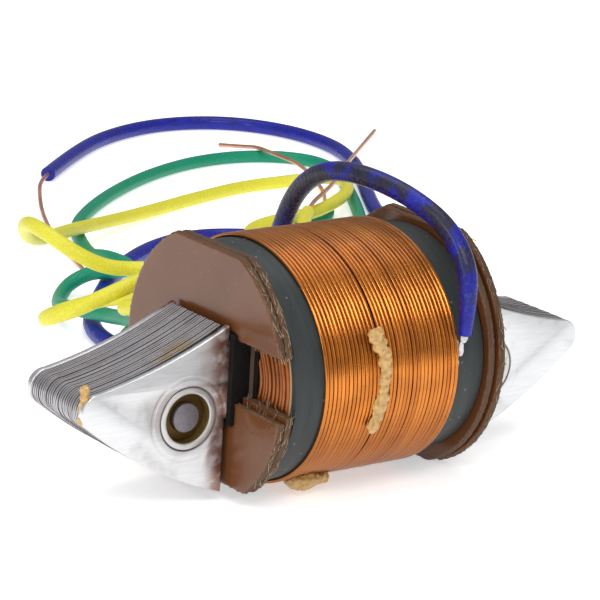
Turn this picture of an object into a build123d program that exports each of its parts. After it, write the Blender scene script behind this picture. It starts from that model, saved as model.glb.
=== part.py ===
"""Ignition coil of a small flywheel magneto: a wound coil on a laminated two-pole core.

X runs along the coil's axis, Y through the stack of laminations (-Y is the front) and Z is up.
The origin is under the middle of the coil, on the surface that the coil stands on. Millimetres.
"""
from build123d import *
import math
import os

os.makedirs("parts", exist_ok=True)

# ---------------------------------------------------------------- driving dimensions
axis_z = 17.6            # height of the coil's axis over the surface it stands on

# core
sheet = 0.5              # one lamination
sheets = 24
cover_t = 1.1            # bright cover plate on each side of the stack
stack_half = sheet * sheets / 2
core_half = stack_half + cover_t
leg_half = 5.5           # half the height of the leg inside the coil
face_radius = 64.5       # pole faces lie on this arc, under the flywheel's rim
face_centre_z = 45.2     # its centre, over the coil's axis
shoe_x = 20.6            # inner edge of a pole shoe
cover_x = 19.9           # the cover plates come a little nearer to the cheeks
shoe_top = 7.6           # height of a shoe's inner corner over the axis
shoe_low = -16.1         # depth of its lower corner
tip_x = 42.9             # far end of a shoe
tip_z = -1.6             # the tip's height
sag = 0.8                # how hollow the upper edge of a shoe is

# rivets
rivet_x = 26.0
rivet_z = -4.7
bush_r = 4.4
bush_bore = 3.5
pin_r = 2.05
recess = 1.5             # depth of the ring-shaped recess round the pin
pin_step = 0.45          # how far the pin's end lies below the plate
socket_r = 1.65          # tapping size of M4 in the rivet's back end
socket_depth = 7.0

# insulation and windings, as half widths along Y and Z
leg_wrap = 1.0
former_wall = 0.9
band_y, band_z = 18.55, 16.85        # black band under the outer winding
right_band_y, right_band_z = 17.8, 16.2  # the same band where it shows at the right
paper = 0.35
tape = 0.5
wire = 0.68              # pitch of the outer winding
winding_left, winding_gap, winding_right = -12.1, -2.75, 10.7
gap_width = 0.25
squareness = 2.1         # exponent of the oval section of the windings

# cheeks
cheek_r = 18.9
ply = 1.1
left_outer_x = -19.3     # outer face of the left cheek
left_parting = 0.15
right_outer_x = 19.2
right_parting = 0.5
top_flat = 17.2
bottom_flat_left = -15.4
bottom_flat_right = -axis_z
slot_top, slot_low = 5.7, -3.1
lining = 0.4             # black lining ring behind each cheek

# resin and glue
resin_y = 19.9           # how far the resin stands out, in front and behind
bead_x0, bead_x1 = -3.6, -1.9
bead_low, bead_high = -8.0, 7.5
anchor_x = -14.5         # the pad where the green and yellow leads leave the coil

# leads, as centre lines from where they leave the coil; heights are over the floor
blue_d, green_d, yellow_d, wire_d = 2.9, 2.45, 2.4, 0.8
blue_route = [
    (12.2, -19.25, 23.1), (12.2, -19.25, 28.0), (12.4, -17.6, 33.0), (11.8, -13.0, 37.2),
    (10.4, -7.2, 39.8), (8.6, -1.2, 41.3), (7.2, 5.0, 41.5), (6.7, 11.0, 39.8),
    (7.1, 16.6, 35.3), (7.7, 20.4, 28.8), (8.2, 22.8, 21.2), (8.5, 25.6, 13.2),
    (8.2, 30.4, 6.2), (6.6, 38.0, 2.2), (4.0, 46.8, 1.5), (2.8, 57.2, 1.45),
    (5.4, 68.0, 1.45), (14.7, 79.8, 1.45), (25.0, 91.8, 1.45), (37.6, 102.4, 1.45),
    (50.5, 107.6, 1.45), (60.5, 105.0, 1.45), (68.0, 97.6, 1.45), (76.2, 91.6, 1.45),
    (85.6, 91.6, 1.45), (91.4, 98.6, 1.45), (94.4, 107.4, 1.45), (99.8, 116.8, 1.45),
    (107.6, 129.4, 1.45), (116.0, 143.3, 1.45), (120.8, 157.2, 1.45), (119.8, 172.0, 1.45),
    (112.0, 183.6, 1.45), (98.0, 187.6, 1.45), (82.0, 182.8, 1.45), (66.8, 172.0, 1.45),
    (52.6, 158.6, 1.45)]
green_route = [
    (anchor_x, resin_y, 12.0), (anchor_x, 25.6, 12.0), (-11.6, 31.2, 11.9), (-6.6, 36.2, 11.2),
    (-2.2, 41.4, 10.1), (0.6, 47.4, 8.6), (2.8, 53.4, 7.0), (4.5, 59.0, 5.5),
    (4.7, 64.6, 4.6), (3.2, 69.4, 4.3), (4.4, 75.0, 3.0), (7.4, 80.6, 1.8),
    (10.8, 85.4, 1.4), (14.4, 88.6, 2.1), (17.8, 88.0, 3.7), (20.0, 85.0, 4.5),
    (23.0, 84.0, 4.5), (25.2, 86.6, 4.5), (25.3, 91.2, 4.4), (26.2, 96.9, 3.5),
    (28.3, 103.8, 1.5), (31.8, 112.8, 1.25), (36.6, 122.8, 1.25), (46.0, 132.8, 1.25),
    (58.5, 143.0, 1.25), (72.5, 151.8, 1.25), (87.0, 157.2, 1.25), (100.0, 156.8, 1.25),
    (108.8, 150.0, 1.25), (109.0, 139.8, 1.25), (103.0, 128.8, 1.25), (97.2, 118.6, 1.25),
    (91.6, 109.4, 1.25), (86.2, 101.2, 1.25), (79.4, 96.6, 1.25), (72.6, 98.8, 1.25),
    (73.0, 105.0, 1.25), (79.8, 107.6, 1.25), (85.6, 110.4, 1.25), (88.8, 115.8, 1.25)]
yellow_route = [
    (anchor_x, resin_y, 18.6), (anchor_x, 25.6, 18.6), (-12.2, 31.2, 16.4), (-6.6, 36.0, 14.8),
    (-1.4, 42.2, 13.8), (-3.0, 49.0, 12.3), (-8.8, 52.0, 10.4), (-14.8, 48.6, 10.6),
    (-18.4, 42.4, 12.6), (-17.2, 36.4, 15.4), (-12.0, 33.6, 18.4), (-5.0, 34.0, 20.0),
    (2.2, 36.8, 19.4), (7.6, 41.4, 17.8), (7.6, 47.8, 16.2), (3.0, 51.6, 15.4),
    (-2.2, 52.4, 16.2), (-6.4, 54.4, 18.5), (-8.6, 58.8, 20.7), (-8.0, 65.4, 20.8),
    (-3.2, 74.8, 17.4), (5.0, 86.4, 11.6), (15.2, 98.2, 7.4), (27.0, 109.6, 4.9),
    (40.0, 118.8, 2.6), (54.5, 126.4, 1.3), (69.5, 132.0, 1.2), (82.5, 135.8, 1.2),
    (91.8, 135.8, 1.3), (98.0, 131.0, 2.7), (99.0, 124.6, 3.8), (95.6, 118.2, 4.1),
    (90.4, 112.6, 4.1), (84.0, 108.2, 4.1), (77.4, 104.6, 4.1), (70.2, 102.2, 4.4),
    (62.8, 100.8, 4.4), (56.4, 96.6, 4.4), (54.6, 89.8, 4.4), (58.6, 85.4, 4.5),
    (63.2, 88.4, 5.2), (67.0, 94.1, 6.0), (71.0, 98.1, 6.5)]
blue_end_route = [
    (52.6, 158.6, 1.45), (48.2, 154.4, 1.45), (43.4, 146.4, 0.8), (38.0, 136.4, 0.45),
    (32.9, 125.2, 0.45), (28.8, 114.3, 0.45), (26.1, 105.4, 0.45), (23.8, 98.4, 0.45)]
green_end_route = [
    (88.8, 115.8, 1.25), (91.1, 119.7, 1.25), (94.6, 124.4, 0.7), (97.8, 129.6, 0.7),
    (99.4, 134.6, 1.6), (99.8, 139.8, 3.1), (99.9, 145.0, 3.3), (100.0, 150.2, 3.3),
    (100.4, 155.6, 3.2), (101.6, 162.4, 1.7), (101.0, 169.8, 0.5)]
yellow_end_route = [
    (71.0, 98.1, 6.5), (75.0, 102.2, 6.8), (81.0, 107.4, 6.5), (89.4, 114.8, 6.3),
    (99.0, 124.9, 5.7), (110.4, 136.8, 4.4), (124.2, 151.6, 2.3), (139.8, 167.6, 0.6)]


# ---------------------------------------------------------------- helpers
def save(name, *solids):
    """Write one node, at its height over the floor."""
    placed = [Pos(0, 0, axis_z) * s for s in solids]
    shape = placed[0] if len(placed) == 1 else Compound(children=placed)
    shape.label = name
    export_step(shape, f"parts/{name}.step")


def oval(half_y, half_z, count=40):
    """A closed curve in the YZ plane, a little squarer than an ellipse."""
    points = []
    for i in range(count):
        a = 2 * math.pi * i / count
        c, s = math.cos(a), math.sin(a)
        points.append((half_y * math.copysign(abs(c) ** (2 / squareness), c),
                       half_z * math.copysign(abs(s) ** (2 / squareness), s)))
    return Spline(*points, periodic=True)


def oval_block(half_y, half_z, x0, x1):
    face = Plane(origin=(x0, 0, 0), x_dir=(0, 1, 0), z_dir=(1, 0, 0)) * make_face(oval(half_y, half_z))
    return extrude(face, amount=x1 - x0, dir=(1, 0, 0))


def block(x0, x1, y0, y1, z0, z1):
    return Pos((x0 + x1) / 2, (y0 + y1) / 2, (z0 + z1) / 2) * Box(x1 - x0, y1 - y0, z1 - z0)


def leg_block(half_y, half_z, x0, x1):
    body = block(x0, x1, -half_y, half_y, -half_z, half_z)
    return fillet(body.edges().filter_by(Axis.X), 0.6)


def cylinder_y(radius, y0, y1, x, z):
    return Pos(x, (y0 + y1) / 2, z) * Rot(90, 0, 0) * Cylinder(radius, y1 - y0)


def face_z(x):
    """Height of the pole faces' arc at x."""
    return face_centre_z - math.sqrt(face_radius ** 2 - x ** 2)


# ---------------------------------------------------------------- core
def shoe_outline(side, inner_x):
    """One arrowhead shoe from the leg outwards: hollow top, round tip, pole face below."""
    inner = side * inner_x
    top_tip = (side * (tip_x - 2.6), tip_z + 2.3)
    low_x = tip_x - 1.1
    low_tip = (side * low_x, face_z(low_x))
    mid_x = (inner_x + tip_x) / 2
    middle = (side * mid_x, face_z(mid_x))
    low_corner = (side * (inner_x + 0.2), face_z(inner_x + 0.2))
    chord = ((inner + top_tip[0]) / 2, (shoe_top + top_tip[1]) / 2 - sag)
    top = ThreePointArc((inner, shoe_top), chord, top_tip)
    nose = ThreePointArc(top_tip, (side * tip_x, tip_z), low_tip)
    arc = ThreePointArc(low_tip, middle, low_corner)
    back = Line(low_corner, (inner, shoe_low + 1.0))
    rise = Line((inner, shoe_low + 1.0), (inner, shoe_top))
    return make_face([top, nose, arc, back, rise])


def core_plate(y0, thickness, inner_x=shoe_x):
    """Both shoes and the leg, cut from one sheet, with the two rivet holes."""
    leg = make_face(Polyline((-shoe_x - 1, -leg_half), (shoe_x + 1, -leg_half),
                             (shoe_x + 1, leg_half), (-shoe_x - 1, leg_half), close=True))
    outline = shoe_outline(-1, inner_x) + leg + shoe_outline(1, inner_x)
    plane = Plane(origin=(0, y0, 0), x_dir=(1, 0, 0), z_dir=(0, -1, 0))
    plate = extrude(plane * outline, amount=thickness, dir=(0, 1, 0))
    for side in (-1, 1):
        plate -= cylinder_y(bush_r, y0 - 1, y0 + thickness + 1, side * rivet_x, rivet_z)
    return plate


def cover_plate(front):
    """A thicker plate with a soft outer edge round each shoe."""
    y0 = -core_half if front else stack_half
    plate = core_plate(y0, cover_t, cover_x)
    outer_y = -core_half if front else core_half
    rim = [e for e in plate.edges()
           if abs(e.center().Y - outer_y) < 1e-3 and abs(e.center().X) > cover_x - 0.05
           and e.geom_type != GeomType.CIRCLE]
    shoes = [e for e in rim if e.length > 3]
    return chamfer(shoes, 0.35)


def laminations():
    return [core_plate(-stack_half + i * sheet, sheet) for i in range(sheets)]


def rivet_bush(side):
    """The ring that lines a shoe's hole, through the whole stack."""
    ring = cylinder_y(bush_r, -core_half, core_half, side * rivet_x, rivet_z)
    return ring - cylinder_y(bush_bore, -core_half - 1, core_half + 1, side * rivet_x, rivet_z)


def rivet(side):
    """Stepped rivet: a pin in front, a full shank behind it and a threaded socket in its back."""
    x, z = side * rivet_x, rivet_z
    body = cylinder_y(bush_bore, -core_half + recess, core_half, x, z)
    body += cylinder_y(pin_r, -core_half + pin_step, -core_half + recess + 0.5, x, z)
    return body - cylinder_y(socket_r, core_half - socket_depth, core_half + 1, x, z)


save("core_laminations", *laminations())
save("cover_plate_front", cover_plate(True))
save("cover_plate_back", cover_plate(False))
for label, side in (("left", -1), ("right", 1)):
    save(f"pole_bush_{label}", rivet_bush(side))
    save(f"pole_rivet_{label}", rivet(side))

# ---------------------------------------------------------------- insulation and windings
wrap_y, wrap_z = core_half + leg_wrap, leg_half + leg_wrap
former_y, former_z = wrap_y + former_wall, wrap_z + former_wall
left_inner_x = left_outer_x + 2 * ply + left_parting
right_inner_x = right_outer_x - 2 * ply - right_parting
tube_y, tube_z = right_band_y - tape, right_band_z - tape
paper_y, paper_z = tube_y - paper, tube_z - paper
coil_y, coil_z = band_y + wire, band_z + wire
lined_left = left_inner_x + lining
lined_right = right_inner_x - lining

leg_wrap_solid = leg_block(wrap_y, wrap_z, -cover_x + 0.1, cover_x - 0.1)
leg_hole = block(-30, 30, -core_half, core_half, -leg_half, leg_half)
save("core_wrap", leg_wrap_solid - leg_hole)

wrap_hole = leg_block(wrap_y, wrap_z, -30, 30)
former = leg_block(former_y, former_z, left_inner_x, right_inner_x) - wrap_hole
save("winding_former", former)

former_hole = leg_block(former_y, former_z, -30, 30)
save("inner_winding", oval_block(paper_y, paper_z, lined_left, lined_right) - former_hole)
save("layer_paper", oval_block(tube_y, tube_z, lined_left, lined_right)
     - oval_block(paper_y, paper_z, -30, 30))
band = oval_block(band_y, band_z, lined_left, winding_right)
band += oval_block(right_band_y, right_band_z, winding_right - 0.5, lined_right)
save("winding_tape", band - oval_block(tube_y, tube_z, -30, 30))


def outer_group(x0, x1):
    return oval_block(coil_y, coil_z, x0, x1) - oval_block(band_y, band_z, -30, 30)


save("outer_winding_left", outer_group(winding_left, winding_gap - gap_width / 2))
save("outer_winding_right", outer_group(winding_gap + gap_width / 2, winding_right))


def lining_ring(x0, slotted):
    ring = oval_block(tube_y, tube_z, x0, x0 + lining) - former_hole
    if slotted:
        ring -= block(x0 - 1, x0 + lining + 1, -30, -former_y - 0.9, slot_low, slot_top)
    return ring


save("cheek_lining_left", lining_ring(left_inner_x, True))
save("cheek_lining_right", lining_ring(right_inner_x - lining, False))


# ---------------------------------------------------------------- cheeks
def cheek_ply(x0, bottom, low=slot_low, radius=cheek_r, slotted=True):
    """A fibre disc with flats at top and bottom, and a slot from its front edge to the leg."""
    disc = Pos(x0 + ply / 2, 0, 0) * Rot(0, 90, 0) * Cylinder(radius, ply)
    disc &= block(x0 - 1, x0 + ply + 1, -30, 30, bottom, top_flat)
    disc -= leg_block(wrap_y, wrap_z, -30, 30)
    if slotted:
        disc -= block(x0 - 1, x0 + ply + 1, -30, -wrap_y + 0.6, low, slot_top)
    return disc


save("cheek_left_outer", cheek_ply(left_outer_x, bottom_flat_left))
save("cheek_left_inner", cheek_ply(left_outer_x + ply + left_parting, bottom_flat_left, slot_low + 0.8))
save("cheek_right_outer", cheek_ply(right_outer_x - ply, bottom_flat_right, radius=19.0, slotted=False))
save("cheek_right_inner", cheek_ply(right_inner_x, bottom_flat_right, radius=18.7, slotted=False))


# ---------------------------------------------------------------- resin, glue and thread
def oval_skin(half_y, half_z, depth, x0, x1, low, high):
    """A strip of thickness depth round the front of an oval, between two heights."""
    strip = oval_block(half_y + depth, half_z + depth, x0, x1) - oval_block(half_y, half_z, -30, 30)
    return strip & block(x0 - 1, x1 + 1, -30, 0, low, high)


bead = oval_skin(coil_y, coil_z, resin_y - coil_y, bead_x0, bead_x1, bead_low, bead_high)
lump = block(-10.8, -5.2, -13.4, -8.6, -axis_z + 0.1, -13.0)
lump = fillet(lump.edges(), 0.9) - oval_block(coil_y, coil_z, -30, 30)
save("resin_drips", bead, lump)

anchor_pad = block(anchor_x - 1.6, anchor_x + 1.6, 10, resin_y, -7.2, 2.6)
save("lead_anchor", fillet(anchor_pad.edges().filter_by(Axis.Y), 0.8) - oval_block(band_y, band_z, -30, 30))

blue_start_z = blue_route[0][2] - axis_z
glue_low = blue_start_z - 1.8
glue = block(blue_route[0][0] - 1.0, blue_route[0][0] + 1.0, -resin_y, 0, glue_low, blue_start_z)
save("glue_patch", glue - oval_block(right_band_y, right_band_z, -30, 30) - oval_block(coil_y, coil_z, -30, winding_right))

save("binding_thread", oval_skin(right_band_y, right_band_z, 0.5, winding_right + 0.1, winding_right + 0.6,
                                 glue_low - 5.0, glue_low))


# ---------------------------------------------------------------- leads
def route_radii(route):
    """Each corner's arc, as large as its two runs allow."""
    radii = []
    for before, here, after in zip(route, route[1:], route[2:]):
        run_in, run_out = Vector(*here) - Vector(*before), Vector(*after) - Vector(*here)
        half_turn = math.radians(run_in.get_angle(run_out)) / 2
        radii.append(0.45 * min(run_in.length, run_out.length) / math.tan(half_turn))
    return radii


def lead(name, route, diameter):
    """A round lead along its route: straight runs joined by tangent arcs."""
    radii = route_radii(route)
    path = FilletPolyline(*route, radius=radii)
    start = Plane(origin=path @ 0, z_dir=path % 0)
    tube = sweep(start * Circle(diameter / 2), path=path)
    share = tube.volume / (math.pi * diameter ** 2 / 4 * path.length)
    print(f"{name}: length {path.length:.1f}, least radius {min(radii):.1f} "
          f"({min(radii) / diameter:.1f} diameters), lowest {tube.bounding_box().min.Z:.2f}, volume share {share:.4f}")
    save(name, Pos(0, 0, -axis_z) * tube)


lead("blue_lead", blue_route, blue_d)
lead("green_lead", green_route, green_d)
lead("yellow_lead", yellow_route, yellow_d)
lead("blue_wire_end", blue_end_route, wire_d)
lead("green_wire_end", green_end_route, wire_d)
lead("yellow_wire_end", yellow_end_route, wire_d)
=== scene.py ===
# %% [markdown]
# # A flywheel magneto's ignition coil
# The coil lies on the rims of its two cheeks, with its laminated core along X and its three
# leads thrown in loops behind it. The frame below is the measured model: it says where each
# part is, and the cells after it give each part the surface of the real one.

# %% the frame, and the size of the measured model
import math
import random

import bpy
from mathutils import Matrix, Vector


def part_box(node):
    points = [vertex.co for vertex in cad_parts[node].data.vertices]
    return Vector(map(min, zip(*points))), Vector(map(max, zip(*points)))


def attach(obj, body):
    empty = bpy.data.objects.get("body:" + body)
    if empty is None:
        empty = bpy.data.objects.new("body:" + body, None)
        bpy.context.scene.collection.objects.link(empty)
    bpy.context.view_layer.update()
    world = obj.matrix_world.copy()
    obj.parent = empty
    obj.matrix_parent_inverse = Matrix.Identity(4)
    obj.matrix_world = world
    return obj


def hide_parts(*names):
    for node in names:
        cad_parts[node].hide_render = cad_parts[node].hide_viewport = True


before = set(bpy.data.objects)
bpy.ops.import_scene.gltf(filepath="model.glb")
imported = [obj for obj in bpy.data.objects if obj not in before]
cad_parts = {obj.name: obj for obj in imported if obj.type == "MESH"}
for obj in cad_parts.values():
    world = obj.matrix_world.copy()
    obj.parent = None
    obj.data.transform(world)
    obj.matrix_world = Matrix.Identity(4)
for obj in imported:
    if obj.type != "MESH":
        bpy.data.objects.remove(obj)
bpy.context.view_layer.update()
mm = 0.001
axis_height = 17.6
axis_z = axis_height * mm
bpy.ops.object.select_all(action="DESELECT")

# %% [markdown]
# ## Camera
# The camera looks from the front left, 16 degrees over the floor, and is rolled by 3 degrees,
# as one held by hand would be. A wide lens up close would swell the near pole shoe, so a long
# lens stands further off and keeps the two in proportion.

# %% camera
camera_azimuth, camera_elevation, camera_roll = (math.radians(a) for a in (-36.84, 16.0, 3.33))
camera_distance, camera_target = 407.4 * mm, Vector((-3.1, 0, 24.9)) * mm
away = Vector((math.sin(camera_azimuth) * math.cos(camera_elevation),
               -math.cos(camera_azimuth) * math.cos(camera_elevation),
               math.sin(camera_elevation)))
bpy.ops.object.camera_add(location=camera_target + camera_distance * away)
camera = bpy.context.object
turn = away.to_track_quat("Z", "Y") @ Matrix.Rotation(camera_roll, 3, "Z").to_quaternion()
camera.rotation_euler = turn.to_euler()
camera.data.lens = 174.7
camera.data.clip_start = 1 * mm
bpy.context.scene.camera = camera
print("camera at", [round(v / mm, 1) for v in camera.location], "mm")

# %% [markdown]
# ## Leads: where they run
# Each lead is solid wire in a woven sleeve. It could be a mesh tube, but a NURBS spline with a
# round bevel is simpler to steer: its few points pull the curve like a stiff wire, and it stays
# smooth between them. The wire is stiff enough to hold the blue arch and the yellow loop up.

# %% routes, in mm, from the coil outwards
blue_route = [
    (11.4, -19.0, 23.1), (11.6, -19.1, 28.0), (12.0, -17.6, 33.0), (11.8, -13.0, 37.2),
    (10.4, -7.2, 39.8), (8.6, -1.2, 41.3), (7.2, 5.0, 41.5), (6.7, 11.0, 39.8),
    (7.1, 16.6, 35.3), (7.7, 20.4, 28.8), (8.2, 22.8, 21.2), (8.5, 25.6, 13.2),
    (8.2, 30.4, 6.2), (6.6, 38.0, 2.2), (4.0, 46.8, 1.5), (2.8, 57.2, 1.45),
    (5.4, 68.0, 1.45), (14.7, 79.8, 1.45), (25.0, 91.8, 1.45), (37.6, 102.4, 1.45),
    (50.5, 107.6, 1.45), (60.5, 105.0, 1.45), (68.0, 97.6, 1.45), (76.2, 91.6, 1.45),
    (85.6, 91.6, 1.45), (91.4, 98.6, 1.45), (94.4, 107.4, 1.45), (99.8, 116.8, 1.45),
    (107.6, 129.4, 1.45), (116.0, 143.3, 1.45), (120.8, 157.2, 1.45), (119.8, 172.0, 1.45),
    (112.0, 183.6, 1.45), (98.0, 187.6, 1.45), (82.0, 182.8, 1.45), (66.8, 172.0, 1.45),
    (52.6, 158.6, 1.45)]
green_route = [
    (-14.5, 19.9, 12.0), (-14.5, 25.6, 12.0), (-11.6, 31.2, 11.9), (-6.6, 36.2, 11.2),
    (-2.2, 41.4, 10.1), (0.6, 47.4, 8.6), (2.8, 53.4, 7.0), (4.5, 59.0, 5.5),
    (4.7, 64.6, 4.6), (3.2, 69.4, 4.3), (4.4, 75.0, 3.0), (7.4, 80.6, 1.8),
    (10.8, 85.4, 1.4), (14.4, 88.6, 2.1), (17.8, 88.0, 3.7), (20.0, 85.0, 4.5),
    (23.0, 84.0, 4.5), (25.2, 86.6, 4.5), (25.3, 91.2, 4.4), (26.2, 96.9, 3.5),
    (28.3, 103.8, 1.5), (31.8, 112.8, 1.25), (36.6, 122.8, 1.25), (46.0, 132.8, 1.25),
    (58.5, 143.0, 1.25), (72.5, 151.8, 1.25), (87.0, 157.2, 1.25), (100.0, 156.8, 1.25),
    (108.8, 150.0, 1.25), (109.0, 139.8, 1.25), (103.0, 128.8, 1.25), (97.2, 118.6, 1.25),
    (91.6, 109.4, 1.25), (86.2, 101.2, 1.25), (79.4, 96.6, 1.25), (72.6, 98.8, 1.25),
    (73.0, 105.0, 1.25), (79.8, 107.6, 1.25), (85.6, 110.4, 1.25), (88.8, 115.8, 1.25)]
yellow_route = [
    (-14.5, 19.9, 18.6), (-14.5, 25.6, 18.6), (-12.2, 31.2, 16.4), (-6.6, 36.0, 14.8),
    (-1.4, 42.2, 13.8), (-3.0, 49.0, 12.3), (-8.8, 52.0, 10.4), (-14.8, 48.6, 10.6),
    (-18.4, 42.4, 12.6), (-17.2, 36.4, 15.4), (-12.0, 33.6, 18.4), (-5.0, 34.0, 20.0),
    (2.2, 36.8, 19.4), (7.6, 41.4, 17.8), (7.6, 47.8, 16.2), (3.0, 51.6, 15.4),
    (-2.2, 52.4, 16.2), (-6.4, 54.4, 18.5), (-8.6, 58.8, 20.7), (-8.0, 65.4, 20.8),
    (-3.2, 74.8, 17.4), (5.0, 86.4, 11.6), (15.2, 98.2, 7.4), (27.0, 109.6, 4.9),
    (40.0, 118.8, 2.6), (54.5, 126.4, 1.3), (69.5, 132.0, 1.2), (82.5, 135.8, 1.2),
    (91.8, 135.8, 1.3), (98.0, 131.0, 2.7), (99.0, 124.6, 3.8), (95.6, 118.2, 4.1),
    (90.4, 112.6, 4.1), (84.0, 108.2, 4.1), (77.4, 104.6, 4.1), (70.2, 102.2, 4.4),
    (62.8, 100.8, 4.4), (56.4, 96.6, 4.4), (54.6, 89.8, 4.4), (58.6, 85.4, 4.5),
    (63.2, 88.4, 5.2), (67.0, 94.1, 6.0), (71.0, 98.1, 6.5)]
blue_end_route = [
    (52.6, 158.6, 1.45), (48.2, 154.4, 1.45), (43.4, 146.4, 0.8), (38.0, 136.4, 0.45),
    (32.9, 125.2, 0.45), (28.8, 114.3, 0.45), (26.1, 105.4, 0.45), (23.8, 98.4, 0.45)]
green_end_route = [
    (88.8, 115.8, 1.25), (91.1, 119.7, 1.25), (94.6, 124.4, 0.7), (97.8, 129.6, 0.7),
    (99.4, 134.6, 1.6), (99.8, 139.8, 3.1), (99.9, 145.0, 3.3), (100.0, 150.2, 3.3),
    (100.4, 155.6, 3.2), (101.6, 162.4, 1.7), (101.0, 169.8, 0.5)]
yellow_end_route = [
    (71.0, 98.1, 6.5), (75.0, 102.2, 6.8), (81.0, 107.4, 6.5), (89.4, 114.8, 6.3),
    (99.0, 124.9, 5.7), (110.4, 136.8, 4.4), (124.2, 151.6, 2.3), (139.8, 167.6, 0.6)]


# %% a lead is one smooth spline with a round section
def lead(name, node, route, diameter, length, bulk=None):
    """Bulk makes single points of the route thicker or thinner than the rest.
    """
    data = bpy.data.curves.new(name, "CURVE")
    data.dimensions = "3D"
    spline = data.splines.new("NURBS")
    spline.points.add(len(route) - 1)
    for i, (point, place) in enumerate(zip(spline.points, route)):
        point.co = (*(Vector(place) * mm), 1)
        point.radius = (bulk or {}).get(i, 1.0) * mm
    spline.order_u = 3
    spline.use_endpoint_u = True
    spline.resolution_u = 10
    data.bevel_depth = diameter / 2
    data.bevel_resolution = 5
    data.use_fill_caps = True
    piece = bpy.data.objects.new(name, data)
    bpy.context.scene.collection.objects.link(piece)
    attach(piece, "root")
    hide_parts(node)
    print(f"{name}: {diameter} mm thick, {length} mm long")
    return piece


blue_squeeze = {0: 0.6, 1: 0.86}
blue_lead = lead("blue_sleeved_lead", "blue_lead", blue_route, 2.9, 392, blue_squeeze)
green_lead = lead("green_sleeved_lead", "green_lead", green_route, 2.45, 310)
yellow_lead = lead("yellow_sleeved_lead", "yellow_lead", yellow_route, 2.4, 349)
blue_end = lead("blue_lead_copper_end", "blue_wire_end", blue_end_route, 0.8, 67)
green_end = lead("green_lead_copper_end", "green_wire_end", green_end_route, 0.8, 57)
yellow_end = lead("yellow_lead_copper_end", "yellow_wire_end", yellow_end_route, 0.8, 98)

# %% [markdown]
# ## Floor and light
# A pale floor and a white room, as in a light tent. A narrow light high in front draws the
# bright line across the turns of wire, a strip on the left catches the cheek, a wide one
# overhead lights the pole shoes, and a weak one on the right keeps the shadows open.

# %% floor, room and lights
bpy.ops.mesh.primitive_plane_add(size=3)
floor = bpy.context.object
floor.name = "floor"

room = bpy.data.worlds.new("room")
room.use_nodes = True
walls = room.node_tree.nodes["Background"].inputs
walls["Color"].default_value = (1, 1, 1, 1)
walls["Strength"].default_value = 0.34
bpy.context.scene.world = room
bpy.context.scene.view_settings.view_transform = "Standard"


def softbox(name, place, width, height, watts):
    """A rectangular light that looks at the coil, its place and size in mm."""
    bpy.ops.object.light_add(type="AREA", location=Vector(place) * mm)
    light = bpy.context.object
    light.name = name
    light.data.shape = "RECTANGLE"
    light.data.size, light.data.size_y = width * mm, height * mm
    light.data.energy = watts
    toward = Vector((0, 0, axis_z)) - light.location
    light.rotation_euler = toward.to_track_quat("-Z", "Y").to_euler()


softbox("strip_left", (-470, -60, 260), 90, 420, 0.8)
softbox("key_front", (-190, -360, 470), 330, 240, 1.5)
softbox("overhead", (60, 160, 620), 420, 420, 1.5)
softbox("fill_right", (420, -420, 240), 260, 260, 0.3)

# %% [markdown]
# ## Shader tools
# Shader graphs are easier to read as sums. `Link` wraps a socket, and each sign between links
# adds one Math node. `Paint` starts a material and makes every other kind of node.


# %% a socket that can be reckoned with
class Link:
    """The output of a node. Arithmetic on it adds Math nodes."""

    def __init__(self, paint, socket):
        self.paint, self.socket = paint, socket

    def math(self, sign, first, second):
        """One Math node between two links or numbers."""
        return self.paint.node("ShaderNodeMath", {"operation": sign}, {0: first, 1: second})

    def __add__(self, other):
        return self.math("ADD", self, other)

    def __sub__(self, other):
        return self.math("SUBTRACT", self, other)

    def __rsub__(self, other):
        return self.math("SUBTRACT", other, self)

    def __mul__(self, other):
        return self.math("MULTIPLY", self, other)

    __radd__, __rmul__ = __add__, __mul__


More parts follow.
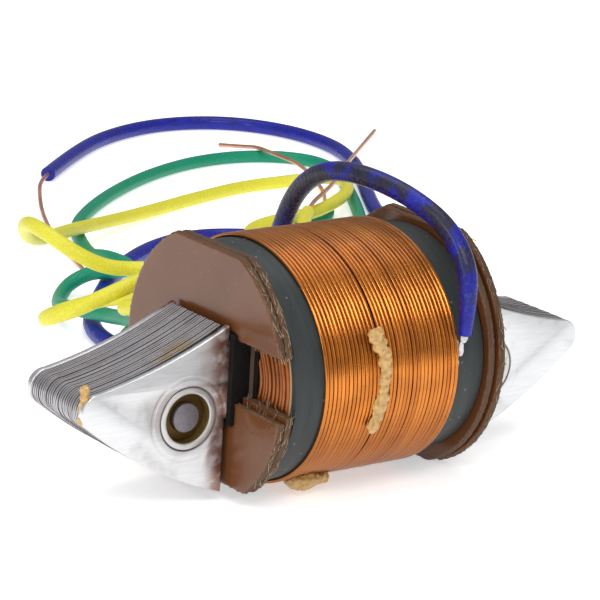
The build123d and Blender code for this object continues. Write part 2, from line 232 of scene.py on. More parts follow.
class Paint:
    """One material: a Principled shader and the nodes that feed it."""

    def __init__(self, name, slot_name, **sockets):
        self.material = bpy.data.materials.new(name)
        self.material.use_nodes = True
        self.slot_name = slot_name
        self.tree = self.material.node_tree
        self.shader = self.tree.nodes["Principled BSDF"]
        self.place = self.node("ShaderNodeTexCoord", output="Object")
        for key, value in sockets.items():
            self.shader.inputs[key.replace("_", " ")].default_value = value

    def node(self, kind, settings=None, inputs=None, output=0):
        """Add a node of one kind: its settings first, then the values or links of its sockets."""
        made = self.tree.nodes.new(kind)
        for key, value in (settings or {}).items():
            setattr(made, key, value)
        for key, value in (inputs or {}).items():
            self.feed(made.inputs[key], value)
        return Link(self, made.outputs[output])

    def feed(self, socket, value):
        """Link a socket, or give it a plain value."""
        if isinstance(value, Link):
            self.tree.links.new(value.socket, socket)
        else:
            socket.default_value = value

    def set(self, **values):
        """Feed sockets of the Principled shader by their names."""
        for key, value in values.items():
            self.feed(self.shader.inputs[key.replace("_", " ")], value)

    def stretched(self, x, y, z):
        """Object coordinates with each axis multiplied: a small factor draws the pattern out."""
        inputs = {0: self.place, 1: (x, y, z)}
        return self.node("ShaderNodeVectorMath", {"operation": "MULTIPLY"}, inputs)

    def noise(self, size, detail=4.0, at=None):
        """Soft noise whose lumps are about size millimetres wide."""
        inputs = {"Vector": at or self.place, "Scale": 1 / (size * mm), "Detail": detail}
        return self.node("ShaderNodeTexNoise", None, inputs)

    def cells(self, size):
        """How far the nearest of many scattered points is, in cells about size mm wide."""
        inputs = {"Vector": self.place, "Scale": 1 / (size * mm)}
        return self.node("ShaderNodeTexVoronoi", None, inputs, "Distance")

    def step(self, value, low, high):
        """0 under low, 1 over high and a smooth rise between. Swapped, the two turn it round."""
        inputs = {"Value": value, "From Min": low, "From Max": high}
        return self.node("ShaderNodeMapRange", {"interpolation_type": "SMOOTHSTEP"}, inputs)

    def mix(self, share, first, second):
        """A colour between two others: a Mix node has its colours at 6 and 7 and gives one at 2."""
        first, second = (c if isinstance(c, Link) else (*c, 1) for c in (first, second))
        return self.node("ShaderNodeMix", {"data_type": "RGBA"}, {0: share, 6: first, 7: second}, 2)

    def axis(self, name, vector=None):
        """One coordinate of a vector, or of the place on the piece, in metres."""
        return self.node("ShaderNodeSeparateXYZ", None, {0: vector or self.place}, name)

    def facing(self, name):
        """How far the surface faces along an axis, from -1 to 1."""
        return self.axis(name, self.node("ShaderNodeNewGeometry", output="Normal"))

    def bump(self, height, depth):
        """Raise the surface by height times depth millimetres."""
        inputs = {"Height": height, "Distance": depth * mm, "Strength": 1.0}
        self.set(Normal=self.node("ShaderNodeBump", None, inputs))


def dress(piece, paint):
    """Give a piece its one material."""
    piece.data.materials.clear()
    piece.data.materials.append(paint.material)


def near(paint, point, low, high):
    """1 within low mm of a point, 0 further off than high mm."""
    inputs = {0: paint.place, 1: tuple(Vector(point) * mm)}
    distance = paint.node("ShaderNodeVectorMath", {"operation": "DISTANCE"}, inputs, "Value")
    return 1 - paint.step(distance, low * mm, high * mm)


# %% [markdown]
# ## Floor material
# The coil lies on white paper. A plain grey would do in even light, but the room is dimmer than
# the paper should look, so the material glows a little, and the shadows stay soft and pale.

# %% pale paper with the faintest grain
floor_paint = Paint("pale_paper", "", Roughness=0.9,
                    Emission_Color=(1, 1, 1, 1), Emission_Strength=0.5)
paper_grain = floor_paint.noise(40)
floor_paint.set(Base_Color=floor_paint.mix(paper_grain, (0.93, 0.93, 0.935), (0.95, 0.95, 0.95)))
floor.data.materials.append(floor_paint.material)

# %% [markdown]
# ## Enamelled copper
# The wire is copper under clear brown enamel, so it shines like metal but amber, and darker
# where the enamel is thick. One brown for all of it would read as paint. So each turn carries
# its own number as an attribute, which shifts its colour a little. Where it faces up, the wire is
# made dull and dark brown, and where it faces down, painted shade darkens it.

# %% enamelled copper
winding_paint = Paint("enamelled_copper", "enamelled_copper",
                      Coat_Weight=0.2, Coat_Roughness=0.14)
turn_number = winding_paint.node("ShaderNodeAttribute", {"attribute_name": "turn"}, output="Fac")
patches = winding_paint.step(winding_paint.noise(5, 3), 0.4, 0.7)
bright = winding_paint.mix(turn_number, (0.70, 0.250, 0.036), (0.52, 0.160, 0.020))
wear_and_shade = winding_paint.mix(patches * 0.4, bright, (0.27, 0.075, 0.014))
dull = winding_paint.step(winding_paint.facing("Z"), 0.6, 0.98) * 0.5
# Painted shade: where the wire faces down it is painted darker, as if shaded underneath.
painted_underside_shade = (1 - winding_paint.step(winding_paint.facing("Z"), -0.75, 0.1)) * 0.75
wear_and_shade = winding_paint.mix(painted_underside_shade, wear_and_shade, (0.26, 0.080, 0.014))
winding_paint.set(Base_Color=winding_paint.mix(dull, wear_and_shade, (0.17, 0.062, 0.028)),
                  Roughness=0.22 + dull * 0.3,
                  Metallic=0.9 - dull * 0.45)
winding_paint.bump(winding_paint.noise(2.5, 2), 0.01)

# %% [markdown]
# ## Outer winding
# The turns could be a ring pattern painted on a barrel, but the light has to fall between them.
# So one turn is a thin torus, squeezed to the coil's oval, and each group is copies of it, every
# copy a hair out of true, as hand-fed wire lies.

# %% the turns
random.seed(7)
band_half = Vector((0, 18.55, 16.85))
wire_radius, wire_lift = 0.315, 0.34  # the lift is from the band to the middle of the wire
swell_most, shift_most, lean_most = 0.035, 0.03, 0.0016  # how far one turn may stray
sharp_angle = math.radians(35)


def ring(half_y, half_z, wire_r, x, around, lean):
    """One oval turn of wire round the coil's axis, out of true by up to lean radians."""
    bpy.ops.mesh.primitive_torus_add(
        major_radius=half_y * mm, minor_radius=wire_r * mm, major_segments=around,
        minor_segments=12, rotation=(0, math.pi / 2, 0), location=(x * mm, 0, axis_z))
    one_turn = bpy.context.object
    one_turn.rotation_euler.y += random.uniform(-lean, lean)
    one_turn.rotation_euler.z += random.uniform(-lean, lean)
    one_turn.scale.x = half_z / half_y
    bpy.ops.object.transform_apply(location=True, rotation=True, scale=True)
    return one_turn


def joined(parts, name):
    """Several pieces made into one mesh."""
    bpy.ops.object.select_all(action="DESELECT")
    for part in parts:
        part.select_set(True)
    bpy.context.view_layer.objects.active = parts[0]
    bpy.ops.object.join()
    whole = bpy.context.object
    whole.name = whole.data.name = name
    bpy.ops.object.transform_apply(location=True, rotation=True, scale=True)
    return whole


def finished(piece, paint, *nodes):
    """Attach a piece to the body, let it stand for the named solids, dress it and shade it."""
    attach(piece, "root")
    if nodes:
        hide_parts(*nodes)
    dress(piece, paint)
    bpy.ops.object.select_all(action="DESELECT")
    piece.select_set(True)
    bpy.context.view_layer.objects.active = piece
    bpy.ops.object.shade_smooth_by_angle(angle=sharp_angle)
    print(f"{piece.name}: {len(piece.data.polygons)} faces")


def winding(node, turns):
    """Fill the space of one measured group with turns, each with its own number."""
    x0, x1 = (corner[0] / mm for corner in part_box(node))
    pitch = (x1 - x0) / turns
    rings = []
    for i in range(turns):
        swell = random.uniform(-swell_most, swell_most)
        x = x0 + (i + 0.5) * pitch + random.uniform(-shift_most, shift_most)
        one = ring(band_half.y + wire_lift + swell, band_half.z + wire_lift + swell,
                   wire_radius, x, 128, lean_most)
        number = one.data.attributes.new("turn", "FLOAT", "POINT")
        shade = random.random()
        for item in number.data:
            item.value = shade
        rings.append(one)
    finished(joined(rings, f"{node}_turns"), winding_paint, node)


winding("outer_winding_left", 14)
winding("outer_winding_right", 20)

# %% [markdown]
# ## Black band
# Black varnished tape lies under the outer winding and shows on both sides of it, narrower on
# the right. The measured tube could stay, but it is a little squarer than the turns, so a
# cylinder primitive is squeezed to their oval. The wrinkles of wound tape and the dust stuck in
# its varnish are far finer than the mesh, so the material makes them.

# %% black tape
tape_paint = Paint("black_tape", "black_tape",
                   Coat_Weight=0.1, Coat_Roughness=0.35, Specular_IOR_Level=0.35)
wrinkles = tape_paint.noise(0.9, 5, tape_paint.stretched(1, 0.12, 0.12))
grain = tape_paint.noise(0.25, 3)
dusty_places = tape_paint.step(tape_paint.noise(4), 0.5, 0.6)
dust = tape_paint.step(tape_paint.cells(1.3), 0.16, 0.08) * dusty_places
tape_base = tape_paint.mix(wrinkles, (0.010, 0.013, 0.013), (0.038, 0.047, 0.047))
tape_paint.set(Base_Color=tape_paint.mix(dust * 0.5, tape_base, (0.35, 0.36, 0.34)),
               Roughness=0.42 + grain * 0.25)
tape_paint.bump(wrinkles + grain * 0.4, 0.10)


def barrel(name, half_y, half_z, x0, x1, wall):
    """An open oval tube from x0 to x1, with a wall inwards and softened edges."""
    bpy.ops.mesh.primitive_cylinder_add(
        vertices=128, radius=half_y * mm, depth=(x1 - x0) * mm, end_fill_type="NOTHING",
        rotation=(0, math.pi / 2, 0), location=((x0 + x1) / 2 * mm, 0, axis_z))
    piece = bpy.context.object
    piece.name = piece.data.name = name
    piece.scale.x = half_z / half_y
    bpy.ops.object.transform_apply(location=True, rotation=True, scale=True)
    bpy.ops.object.mode_set(mode="EDIT")
    bpy.ops.mesh.select_all(action="SELECT")
    bpy.ops.mesh.normals_make_consistent(inside=False)
    bpy.ops.object.mode_set(mode="OBJECT")
    solid = piece.modifiers.new("wall", "SOLIDIFY")
    solid.thickness, solid.offset = wall * mm, -1
    soft = piece.modifiers.new("soft edges", "BEVEL")
    soft.width, soft.segments, soft.limit_method = 0.12 * mm, 2, "ANGLE"
    for modifier in list(piece.modifiers):
        bpy.ops.object.modifier_apply(modifier=modifier.name)
    return piece


tape_start, tape_end = (corner[0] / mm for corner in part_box("winding_tape"))
turns_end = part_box("outer_winding_right")[1][0] / mm
wide_end, narrow_start = turns_end - 0.2, turns_end - 0.6
narrow_y, narrow_z = 17.85, 16.25
wide_band = barrel("tape_band", band_half.y, band_half.z, tape_start, wide_end, wall=1.2)
narrow_band = barrel("tape_band_right", narrow_y, narrow_z, narrow_start, tape_end, wall=0.6)
finished(wide_band, tape_paint, "winding_tape")
finished(narrow_band, tape_paint)

# %% [markdown]
# ## Inner winding, seen through the slot
# The slot in the left cheek shows the end of the inner winding: oval layers, one inside the
# other. Stripes could be painted on the measured solid, but the turns stand out and catch the
# light, so each layer's end turn is a ring, and the solid stays behind them.

# %% inner winding
inner_paint = Paint("inner_copper", "inner_copper",
                    Metallic=0.7, Roughness=0.35, Coat_Weight=0.3)
inner_shade = inner_paint.mix(inner_paint.noise(1.6), (0.42, 0.125, 0.022), (0.17, 0.042, 0.008))
inner_paint.set(Base_Color=inner_shade)
inner_paint.bump(inner_paint.noise(0.4), 0.03)
dress(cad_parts["inner_winding"], inner_paint)

end_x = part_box("inner_winding")[0][0] / mm - 0.05
layer_half_widths = [10.4, 11.2, 11.9, 12.7, 13.5, 14.3, 15.1, 15.9, 16.6]
layer_flatness, layer_wire_radius, layer_lean = 1.7, 0.33, 0.004
layer_rings = [ring(half_y, half_y - layer_flatness, layer_wire_radius,
                    end_x + random.uniform(-0.1, 0.1), 96, layer_lean)
               for half_y in layer_half_widths]
finished(joined(layer_rings, "inner_winding_end_turns"), inner_paint)

# %% [markdown]
# ## A measured part, finished
# The steel parts already have their true shape, but their edges are as sharp as a drawing. They
# could be modelled again, but a copy stays true to size: its loose triangles are welded, its
# flat faces are cleaned, and a small bevel gives each edge the bright line that real sheet has.

# %% welded copy with soft edges
weld_distance = 0.002 * mm


def refined(node, name, edge, segments=2, keep=None):
    """A copy of a measured solid with rounded edges, or of the faces that keep picks."""
    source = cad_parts[node]
    piece = source.copy()
    piece.data = source.data.copy()
    piece.parent = None
    piece.matrix_world = Matrix.Identity(4)
    piece.name = piece.data.name = name
    bpy.context.scene.collection.objects.link(piece)
    bpy.ops.object.select_all(action="DESELECT")
    piece.select_set(True)
    piece.hide_set(False)
    piece.hide_render = False
    bpy.context.view_layer.objects.active = piece
    if keep:
        bpy.context.tool_settings.mesh_select_mode = (False, False, True)
        bpy.ops.object.mode_set(mode="EDIT")
        bpy.ops.mesh.select_all(action="DESELECT")
        bpy.ops.object.mode_set(mode="OBJECT")
        for face in piece.data.polygons:
            face.select = not keep(face.center, face.normal)
        bpy.ops.object.mode_set(mode="EDIT")
        bpy.ops.mesh.delete(type="FACE")
        bpy.ops.object.mode_set(mode="OBJECT")
        bpy.context.tool_settings.mesh_select_mode = (True, False, False)
    bpy.ops.object.mode_set(mode="EDIT")
    bpy.ops.mesh.select_all(action="SELECT")
    bpy.ops.mesh.remove_doubles(threshold=weld_distance)
    bpy.ops.mesh.dissolve_limited(angle_limit=math.radians(1))
    bpy.ops.mesh.normals_make_consistent(inside=False)
    bpy.ops.object.mode_set(mode="OBJECT")
    soft = piece.modifiers.new("soft edges", "BEVEL")
    soft.width, soft.segments = edge * mm, segments
    soft.limit_method, soft.angle_limit = "ANGLE", sharp_angle
    bpy.ops.object.modifier_apply(modifier=soft.name)
    return piece


# %% [markdown]
# ## Laminations
# The core is a stack of thin steel sheets, and its top edge shows as fine grey and dark stripes.
# They could be painted on one block, but real edges catch the light. So one sheet is taken from
# the measured stack, its edges are bevelled, and its copies sit a few hundredths of a millimetre
# off, which is what makes the stripes uneven.

# %% the stack of sheets
sheet_paint = Paint("lamination_steel", "laminations", Metallic=0.85)
streaks = sheet_paint.noise(0.7, 6, sheet_paint.stretched(0.15, 1, 0.15))
blotches = sheet_paint.step(sheet_paint.noise(3.2), 0.42, 0.66)
steel = sheet_paint.mix(streaks, (0.30, 0.285, 0.30), (0.66, 0.64, 0.67))
by_the_tip = near(sheet_paint, (-27.5, -6.0, 22.3), 1.6, 4.2)
oily = by_the_tip * sheet_paint.step(sheet_paint.noise(1.0, 5), 0.36, 0.52)
across_stack = sheet_paint.facing("Y")
seam = sheet_paint.step(across_stack * across_stack, 0.03, 0.3)
stained_steel = sheet_paint.mix(blotches * 0.45, steel, (0.22, 0.18, 0.16))
oiled_steel = sheet_paint.mix(oily * 0.8, stained_steel, (0.42, 0.30, 0.13))
sheet_paint.set(Base_Color=sheet_paint.mix(seam, oiled_steel, (0.022, 0.019, 0.020)),
                Roughness=0.42 + blotches * 0.2,
                Metallic=0.85 - seam * 0.6)
sheet_paint.bump(streaks, 0.02)

stack_low, stack_high = (corner[1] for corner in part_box("core_laminations"))
sheet_count, sheet_edge = 24, 0.085
sheet_shift, sheet_rise = 0.05 * mm, 0.045 * mm
sheet_t = (stack_high - stack_low) / sheet_count


def first_sheet(centre, normal):
    """Faces of the front sheet: its front, its rim and its own back face."""
    inside = centre.y < stack_low + 0.9 * sheet_t
    own_back = abs(centre.y - stack_low - sheet_t) < 0.02 * sheet_t and normal.y > 0.5
    return inside or own_back


front_sheet = refined("core_laminations", "core_sheet", sheet_edge, 1, first_sheet)
sheets = [front_sheet]
for i in range(1, sheet_count):
    copy = front_sheet.copy()
    copy.data = front_sheet.data.copy()
    copy.location = (random.uniform(-sheet_shift, sheet_shift), i * sheet_t,
                     random.uniform(-sheet_rise, sheet_rise))
    bpy.context.scene.collection.objects.link(copy)
    sheets.append(copy)
finished(joined(sheets, "core_sheets"), sheet_paint, "core_laminations")

# %% [markdown]
# ## Cover plates and rivets
# Bright plates clamp the stack. They are rolled steel: nearly white, with fine scratches along
# them and a few grey smudges, and near the fold, by the cheek, a painted reddish reflection.
# Each rivet has a grey end and sits in a ring, which is bright in front and gold-brown with old
# varnish inside. The mark pressed into the plate round each ring could be cut into its mesh, but
# it is so shallow that a bump in the material is enough.

# %% bright plates
plate_paint = Paint("bright_plate", "cover_plate", Metallic=0.92)
fine = plate_paint.noise(0.35, 8, plate_paint.stretched(0.1, 1, 1))
scratches = plate_paint.noise(0.22, 4, plate_paint.stretched(0.06, 1, 0.8))
smudges = plate_paint.step(plate_paint.noise(4.5, 6), 0.5, 0.75)
plate_white = plate_paint.mix(fine, (0.58, 0.585, 0.60), (0.78, 0.785, 0.795))
rivet_left, rivet_right = (-26, -7.1, 12.9), (26, -7.1, 12.9)
ring_edge, mark_outside, mark_inside = (4.5, 4.75), (5.9, 6.15), (5.4, 5.65)
outline = near(plate_paint, rivet_left, *ring_edge) + near(plate_paint, rivet_right, *ring_edge)
pressed = (near(plate_paint, rivet_left, *mark_outside)
           - near(plate_paint, rivet_left, *mark_inside)
           + near(plate_paint, rivet_right, *mark_outside)
           - near(plate_paint, rivet_right, *mark_inside))
across = plate_paint.axis("X")
fold_inside, fold_outside = 20.6 * mm, 23.6 * mm
by_the_fold = 1 - plate_paint.step(across * across, fold_inside ** 2, fold_outside ** 2)
# Painted reflection: near the fold, by the cheek, the plate is tinted reddish brown in patches.
painted_cheek_reflection = by_the_fold * plate_paint.step(plate_paint.noise(1.8, 5), 0.3, 0.55)
plate_white = plate_paint.mix(painted_cheek_reflection, plate_white, (0.30, 0.155, 0.12))
plate_white = plate_paint.mix(outline * 0.85, plate_white, (0.06, 0.05, 0.045))
plate_paint.set(Base_Color=plate_paint.mix(smudges * 0.4, plate_white, (0.34, 0.33, 0.33)),
                Roughness=0.30 + smudges * 0.16 + fine * 0.1)
plate_paint.bump(scratches * 0.6 + fine * 0.4 - pressed * 1.4, 0.012)
for side in ("front", "back"):
    node = f"cover_plate_{side}"
    finished(refined(node, f"bright_plate_{side}", edge=0.12), plate_paint, node)

# %% rivets and their rings
bush_paint = Paint("varnished_ring", "bush", Metallic=0.6, Coat_Weight=0.5, Coat_Roughness=0.2)
plate_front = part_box("cover_plate_front")[0][1]
ring_start, ring_inside = plate_front - 0.05 * mm, plate_front + 0.25 * mm
inside_ring = bush_paint.step(bush_paint.axis("Y"), ring_start, ring_inside)
ring_gold = bush_paint.mix(bush_paint.noise(1.1), (0.10, 0.06, 0.015), (0.32, 0.22, 0.07))
bush_paint.set(Base_Color=bush_paint.mix(inside_ring, (0.60, 0.60, 0.60), ring_gold),
               Roughness=0.3 + bush_paint.noise(0.4) * 0.2)
bush_paint.bump(bush_paint.noise(0.3), 0.02)
rivet_paint = Paint("rivet_steel", "rivet", Metallic=0.75)
rivet_speck = rivet_paint.noise(0.5, 6)
recess_start, recess_end = plate_front + 0.5 * mm, plate_front + 1.2 * mm
in_recess = rivet_paint.step(rivet_paint.axis("Y"), recess_start, recess_end)
rivet_grey = rivet_paint.mix(rivet_speck, (0.14, 0.13, 0.145), (0.30, 0.285, 0.31))
rivet_paint.set(Base_Color=rivet_paint.mix(in_recess, rivet_grey, (0.12, 0.07, 0.02)),
                Roughness=0.45 + rivet_speck * 0.2)
rivet_paint.bump(rivet_speck, 0.03)
for side in ("left", "right"):
    bush, rivet = f"pole_bush_{side}", f"pole_rivet_{side}"
    finished(refined(bush, f"rivet_ring_{side}", edge=0.14), bush_paint, bush)
    finished(refined(rivet, f"rivet_{side}", edge=0.12), rivet_paint, rivet)

# %% [markdown]
# ## Cheeks
# The end cheeks are stamped from varnished fibre board: glossy brown on the face, and pale and
# torn on the rim, where the stamp broke the fibres. The finish looks at which way the surface
# faces: along the coil it is varnish, round the rim it is raw fibre. The tear could be a bump
# too, but it has to show in the outline. So a voxel Remesh gives the board a fine skin, and a
# Displace pushes that skin about, held to the rim by a vertex group so that the faces stay flat.

# %% cheeks
cheek_paint = Paint("cheek_fibre", "cheek_fibre", Coat_Roughness=0.12, Specular_IOR_Level=0.3)
sideways = cheek_paint.facing("X")
rim = 1 - cheek_paint.step(sideways * sideways, 0.25, 0.7)
clouds = cheek_paint.noise(6, 3)
fibres = cheek_paint.noise(0.35, 5, cheek_paint.stretched(1, 0.16, 0.16))
plies = cheek_paint.noise(0.22, 3, cheek_paint.stretched(1, 0.03, 0.03))
specks = cheek_paint.step(cheek_paint.cells(1.0), 0.12, 0.05) * 0.6
varnish = cheek_paint.mix(clouds, (0.110, 0.036, 0.010), (0.165, 0.062, 0.022))
specked = cheek_paint.mix(specks * 0.5, varnish, (0.45, 0.32, 0.22))
raw = cheek_paint.mix(plies * 0.5 + fibres * 0.5, (0.020, 0.010, 0.006), (0.17, 0.095, 0.050))
cheek_paint.set(Base_Color=cheek_paint.mix(rim, specked, raw),
                Roughness=0.22 + rim * 0.5,
                Coat_Weight=0.3 - rim * 0.28)
cheek_paint.bump(fibres * rim * 2 + clouds * 0.6, 0.06)
torn = bpy.data.textures.new("torn", "CLOUDS")
torn.noise_scale = 0.4 * mm
torn.noise_depth = 3
board_edge, skin_grain, tear_depth = 0.18, 0.22 * mm, 0.38 * mm


def torn_board(node):
    """A cheek ply with a fine skin, its flat faces left smooth and its rim torn."""
    board = refined(node, f"{node}_board", board_edge, 3)
    skin = board.modifiers.new("fine skin", "REMESH")
    skin.mode, skin.voxel_size = "VOXEL", skin_grain
    bpy.ops.object.modifier_apply(modifier=skin.name)
    rim_group = board.vertex_groups.new(name="rim")
    on_the_rim = [v.index for v in board.data.vertices if abs(v.normal.x) < 0.85]
    rim_group.add(on_the_rim, 1.0, "REPLACE")
    tear = board.modifiers.new("torn rim", "DISPLACE")
    tear.texture, tear.texture_coords, tear.vertex_group = torn, "LOCAL", rim_group.name
    tear.strength, tear.mid_level = tear_depth, 0.6
    bpy.ops.object.modifier_apply(modifier=tear.name)
    return board


for node in ("cheek_left_outer", "cheek_left_inner", "cheek_right_outer", "cheek_right_inner"):
    finished(torn_board(node), cheek_paint, node)

# %% [markdown]
# ## Loose fibres
# Pale fibres as thin as hairs stick out of the torn rims. A hair system could grow them, but
# there are only a few dozen on each board, so each is a thin cone at a random place on the rim,
# lying roughly along it.

# %% torn fibres along the rims
fibre_paint = Paint("loose_fibre", "cheek_fibre", Roughness=0.8)
fibre_shade = fibre_paint.mix(fibre_paint.noise(2), (0.10, 0.055, 0.03), (0.50, 0.38, 0.26))
fibre_paint.set(Base_Color=fibre_shade)
fibre_root, fibre_tip = 0.07 * mm, 0.02 * mm


def fibres_on(board, count):
    """Short tapered fibres at random places on a board's front rim, clear of the floor."""
    rim_spots = [v.co for v in board.data.vertices
                 if abs(v.normal.x) < 0.5 and v.co.y < -9 * mm and v.co.z > 4 * mm]
    strands = []
    for _ in range(count):
        spot = random.choice(rim_spots)
        along = Vector((0, spot.z - axis_z, -spot.y)).normalized()
        along += Vector([random.uniform(-0.4, 0.4) for _ in range(3)])
        bpy.ops.mesh.primitive_cone_add(
            vertices=5, radius1=fibre_root, radius2=fibre_tip, depth=random.uniform(0.8, 2.4) * mm,
            location=spot, rotation=along.to_track_quat("Z", "Y").to_euler())
        strands.append(bpy.context.object)
    finished(joined(strands, f"{board.name}_fibres"), fibre_paint)


for node, count in (("cheek_left_inner", 70), ("cheek_left_outer", 50), ("cheek_right_outer", 30)):
    fibres_on(bpy.data.objects[f"{node}_board"], count)

# %% [markdown]
# ## Insulation, board and paper
# Black insulation lines the cheeks and wraps the core's leg, which the slot shows. The board and
# the paper of the bobbin are hidden in the coil. All five could be rebuilt, but so little of them
# is seen that the measured solids stay, and only get a material each.

# %% black insulation, board and paper inside
insulation_paint = Paint("black_insulation", "black_insulation",
                         Roughness=0.6, Specular_IOR_Level=0.15)
insulation_shade = insulation_paint.mix(insulation_paint.noise(1.5),
                                        (0.003, 0.003, 0.003), (0.014, 0.012, 0.011))
insulation_paint.set(Base_Color=insulation_shade)
insulation_paint.bump(insulation_paint.noise(0.6), 0.08)
board_paint = Paint("former_board", "former_board", Roughness=0.7)
board_shade = board_paint.mix(board_paint.noise(1.2), (0.05, 0.03, 0.02), (0.12, 0.07, 0.04))
board_paint.set(Base_Color=board_shade)
paper_paint = Paint("layer_paper", "paper", Roughness=0.7)
paper_shade = paper_paint.mix(paper_paint.noise(1.2), (0.35, 0.22, 0.10), (0.48, 0.32, 0.16))
paper_paint.set(Base_Color=paper_shade)
for node in ("core_wrap", "cheek_lining_left", "cheek_lining_right"):
    dress(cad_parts[node], insulation_paint)
dress(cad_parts["winding_former"], board_paint)
dress(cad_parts["layer_paper"], paper_paint)

# %% [markdown]
# ## Sleeves
# Woven glass sleeve, dipped in coloured varnish, is almost smooth, with a fine weave that the
# light picks out. The blue one is crinkled and stained black where it was dipped in the coil's
# varnish, with pale specks where the colour has rubbed off. The weave could be modelled strand
# by strand, but it is finer than a third of a millimetre, so cells in the material stand for it.


# %% one paint for each sleeve
def sleeve_paint(name, slot_name, deep, light, roughness):
    """Woven sleeve between two shades of one colour, the weave rougher than its hollows."""
    paint = Paint(name, slot_name, Coat_Weight=0.12, Coat_Roughness=0.25, Specular_IOR_Level=0.3)
    weave = paint.cells(0.32)
    cloud = paint.noise(3.5)
    paint.set(Base_Color=paint.mix(cloud * 0.35 + weave * 0.65, deep, light),
              Roughness=roughness + weave * 0.15)
    paint.bump(weave + cloud * 0.1, 0.04)
    return paint


green_paint = sleeve_paint("green_sleeve", "green_sleeve",
                           (0.0, 0.17, 0.09), (0.002, 0.34, 0.19), 0.42)
yellow_paint = sleeve_paint("yellow_sleeve", "yellow_sleeve",
                            (0.60, 0.55, 0.02), (0.84, 0.80, 0.07), 0.40)
dress(green_lead, green_paint)
dress(yellow_lead, yellow_paint)

blue_paint = Paint("blue_sleeve", "blue_sleeve",
                   Coat_Weight=0.2, Coat_Roughness=0.15, Specular_IOR_Level=0.3)
blue_cloud, crinkle = blue_paint.noise(2.4), blue_paint.noise(0.55, 6)
scuffs = blue_paint.step(blue_paint.noise(0.7, 6), 0.58, 0.75)
blue_base = blue_paint.mix(blue_cloud, (0.002, 0.003, 0.12), (0.006, 0.014, 0.42))
high_up = blue_paint.step(blue_paint.axis("Z"), 22 * mm, 37 * mm)
by_the_coil = near(blue_paint, (10, 2, 34), 24, 44)
stain = blue_paint.step(blue_paint.noise(3.6, 5), 0.38, 0.52) * high_up * by_the_coil
stained = blue_paint.mix(stain * 0.92, blue_base, (0.012, 0.011, 0.016))
blue_paint.set(Base_Color=blue_paint.mix(scuffs * by_the_coil * 0.3, stained, (0.10, 0.11, 0.36)),
               Roughness=0.32 + crinkle * 0.2)
blue_paint.bump(crinkle, 0.3)
dress(blue_lead, blue_paint)

# %% [markdown]
# ## Copper ends
# The ends of the leads are bare pinkish copper, with brown enamel left on them in places. They
# could be split where the enamel ends, but it is worn off in patches, so soft noise mixes the two.

# %% copper ends
copper_paint = Paint("bare_copper", "bare_copper", Metallic=0.8, Roughness=0.34)
enamel_left = copper_paint.step(copper_paint.noise(9), 0.42, 0.6)
pink = copper_paint.mix(copper_paint.noise(1.5), (0.80, 0.44, 0.31), (0.66, 0.33, 0.22))
copper_paint.set(Base_Color=copper_paint.mix(enamel_left * 0.5, pink, (0.42, 0.16, 0.07)))
copper_paint.bump(copper_paint.noise(0.5), 0.02)
for end in (blue_end, green_end, yellow_end):
    dress(end, copper_paint)

# %% [markdown]
# ## Resin
# Tan resin has run down the front of the winding along its gap, and hangs in a lump under the
# coil. It could be sculpted by hand, but a few lines can build it too: each blob starts as an
# ico sphere, stretched to size and made lumpy by a Displace. Several are then fused with a voxel
# Remesh and displaced again, more finely, into crags.

# %% resin paint
resin_paint = Paint("tan_resin", "resin", Coat_Weight=0.6, Coat_Roughness=0.15, Roughness=0.35)
resin_shade = resin_paint.mix(resin_paint.noise(0.6, 4), (0.24, 0.095, 0.015), (0.80, 0.52, 0.16))
resin_paint.set(Base_Color=resin_shade)
resin_paint.bump(resin_paint.noise(0.5), 0.12)

# %% blobs, and the crags on them
clots = bpy.data.textures.new("clots", "CLOUDS")
clots.noise_scale = 1.6 * mm
crags = bpy.data.textures.new("crags", "CLOUDS")
crags.noise_scale = 0.55 * mm


def blob(name, centre, size, rough=0.5, turned=(0, 0, 0), fineness=4):
    """A rounded lump of given full size in mm."""
    bpy.ops.mesh.primitive_ico_sphere_add(subdivisions=fineness, radius=0.5,
                                          location=Vector(centre) * mm, rotation=turned)
    piece = bpy.context.object
    piece.name = piece.data.name = name
    piece.scale = Vector(size) * mm
    bpy.ops.object.transform_apply(location=True, rotation=True, scale=True)
    lumpy = piece.modifiers.new("lumps", "DISPLACE")
    lumpy.texture, lumpy.strength, lumpy.texture_coords = clots, rough * mm, "LOCAL"
    bpy.ops.object.modifier_apply(modifier=lumpy.name)
    return piece


def craggy(parts, name, grain_mm=0.14, depth_mm=0.45):
    """Blobs fused into one skin and broken up, as resin sets."""
    piece = joined(parts, name)
    fuse = piece.modifiers.new("one skin", "REMESH")
    fuse.mode, fuse.voxel_size = "VOXEL", grain_mm * mm
    bpy.ops.object.modifier_apply(modifier=fuse.name)
    crag = piece.modifiers.new("crags", "DISPLACE")
    crag.texture, crag.strength, crag.texture_coords = crags, depth_mm * mm, "LOCAL"
    bpy.ops.object.modifier_apply(modifier=crag.name)
    return piece


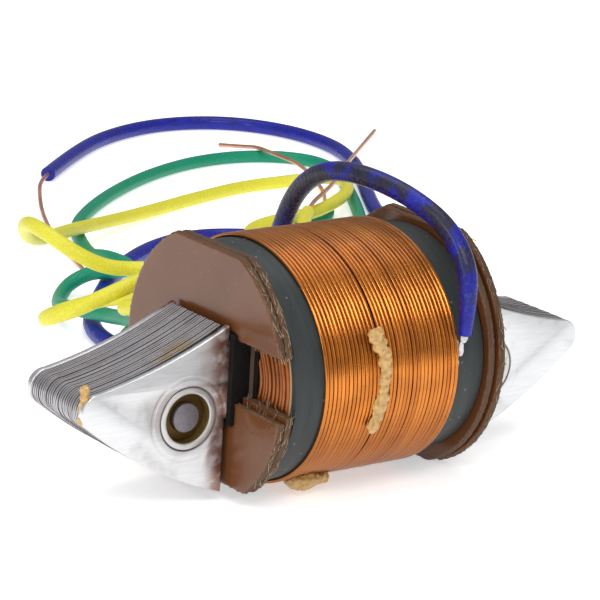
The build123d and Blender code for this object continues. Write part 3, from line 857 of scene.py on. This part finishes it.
# %% the bead down the winding, the lump under it, the spots on the core and the pad behind
bead_top, bead_bottom, bead_front = 25.0, 12.3, 19.1
bead_x, bead_sway, bead_round = -3.9, 1.7, 0.0045
bead_drops = 11
drips = []
for i in range(bead_drops):
    share = i / (bead_drops - 1)
    z = bead_top + (bead_bottom - bead_top) * share
    x = bead_x + bead_sway * math.sin(3.0 * share ** 0.8) + random.uniform(-0.25, 0.25)
    y = -bead_front + bead_round * (z - axis_height) ** 2
    drips.append(blob("drip", (x, y, z),
                      (random.uniform(1.5, 2.6), 1.3, random.uniform(1.6, 2.6))))
drips += [blob("drip", (-8.2, -9.6, 2.4), (5.2, 4.2, 3.2), 0.7),
          blob("drip", (-5.4, -9.4, 2.2), (2.8, 3.0, 2.2), 0.6)]
finished(craggy(drips, "resin_drips_on_winding"), resin_paint, "resin_drips")
spots = [blob("spot", (-42.0 - 0.1 * i, -6.1 - 0.15 * (i % 2), 18.9 - 1.0 * i), (1.2, 1.5, 1.6))
         for i in range(5)]
finished(craggy(spots, "resin_spots_on_core", 0.12, 0.35), resin_paint)
anchor_low, anchor_high = (Vector(corner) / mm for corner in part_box("lead_anchor"))
anchor_middle = (anchor_low + anchor_high) / 2
anchor = blob("lead_anchor_pad", anchor_middle, anchor_high - anchor_low, 0.4)
finished(anchor, resin_paint, "lead_anchor")

# %% [markdown]
# ## Frayed end and thread
# The blue sleeve ends in a pale frayed tuft on the band, and a loose thread hangs down from it.
# Both could be bundles of fine curves, but at two or three millimetres across a few lumpy,
# stretched blobs read the same, and are easier to place.

# %% the tuft under the blue sleeve, and the thread that hangs from it
thread_paint = Paint("pale_thread", "thread", Roughness=0.8)
thread_shade = thread_paint.mix(thread_paint.noise(0.5), (0.55, 0.50, 0.52), (0.88, 0.84, 0.84))
thread_paint.set(Base_Color=thread_shade)
thread_paint.bump(thread_paint.noise(0.15), 0.05)
glue_low, glue_high = (Vector(corner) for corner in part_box("glue_patch"))
glue_middle = (glue_low + glue_high) / 2 / mm
frayed = [blob("fray", glue_middle + Vector((-0.6, -0.2, 0.6)), (1.5, 1.0, 2.0), 0.6),
          blob("fray", glue_middle + Vector((-0.9, -0.1, -1.2)), (1.0, 0.8, 2.2), 0.5)]
finished(joined(frayed, "frayed_sleeve_end"), thread_paint, "glue_patch")
strands = []
low, high = (Vector(corner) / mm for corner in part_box("binding_thread"))
strand_count, hang_above = 8, 0.6
for i in range(strand_count):
    share = (i + 0.5) / strand_count
    place = (low.x + 0.1 + random.uniform(0, 0.5), (low.y + high.y) / 2 - 0.15,
             high.z + hang_above - share * (high.z - low.z + hang_above))
    size = (random.uniform(0.16, 0.34), 0.25, random.uniform(1.2, 2.6))
    strands.append(blob("strand", place, size, 0.2,
                        turned=(0, random.uniform(-0.35, 0.35), 0), fineness=3))
finished(joined(strands, "binding_thread_strands"), thread_paint, "binding_thread")

# %% the end
bpy.context.view_layer.update()
